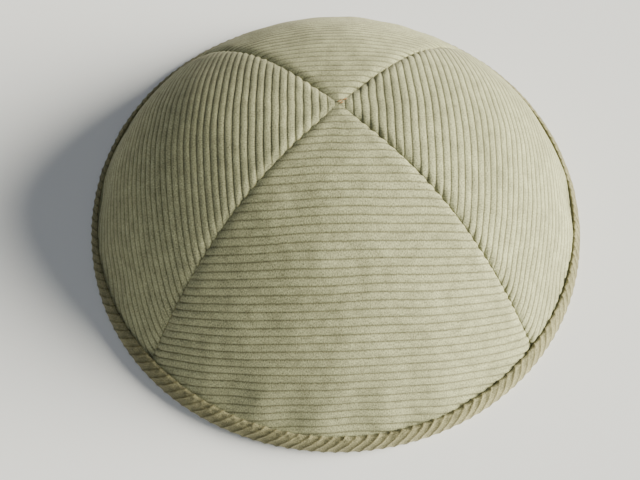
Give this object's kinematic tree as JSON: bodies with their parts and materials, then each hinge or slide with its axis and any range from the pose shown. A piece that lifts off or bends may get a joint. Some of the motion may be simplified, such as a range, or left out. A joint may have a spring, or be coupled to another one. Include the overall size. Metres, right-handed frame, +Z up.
{
  "type": "corduroy kippah",
  "caption": "Shallow domed skullcap of corduroy panels sewn together at the crown, with a bias-cut corduroy tape folded over the rim; open and hollow underneath.",
  "frame": {"origin": "middle of the rim, on the surface that the cap stands on", "axes": "+Z up through the crown; -Y towards the middle of the front panel; +X to the right as seen from the front"},
  "size_m": [0.1558, 0.1608, 0.0488],
  "materials": {
    "corduroy": "ribbed cotton pile, matte, khaki",
    "bias_tape": "ribbed cotton pile cut on the bias, matte, khaki"
  },
  "bodies": {
    "root": {"panel_front": "corduroy", "panel_right": "corduroy", "panel_back": "corduroy", "panel_left": "corduroy", "rim_binding": "bias_tape"}
  },
  "joints": []
}
